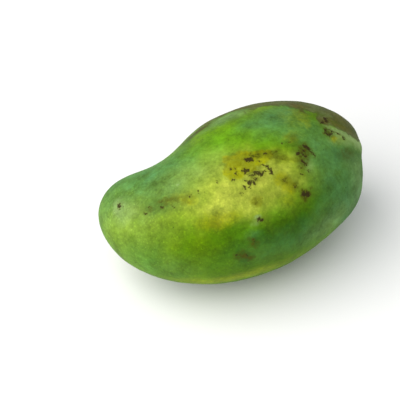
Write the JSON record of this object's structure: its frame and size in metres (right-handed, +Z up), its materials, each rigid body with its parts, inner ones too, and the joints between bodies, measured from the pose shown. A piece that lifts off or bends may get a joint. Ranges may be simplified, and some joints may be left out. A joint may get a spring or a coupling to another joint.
{
  "type": "mango",
  "caption": "Whole green mango lying on its flatter side, with a rounded stem end, a tapering bent tip and a small flat spot to rest on.",
  "frame": {"origin": "on the resting plane, under the middle of the bounding box", "axes": "+X along the length towards the stem end, +Z up, +Y towards the side that holds the hollow near the tip"},
  "size_m": [0.1518, 0.1, 0.083],
  "materials": {
    "peel": "waxy green fruit peel with a dusty bloom, yellow patches, pale pores and brown corky scars"
  },
  "bodies": {
    "root": {"mango": "peel"}
  },
  "joints": []
}
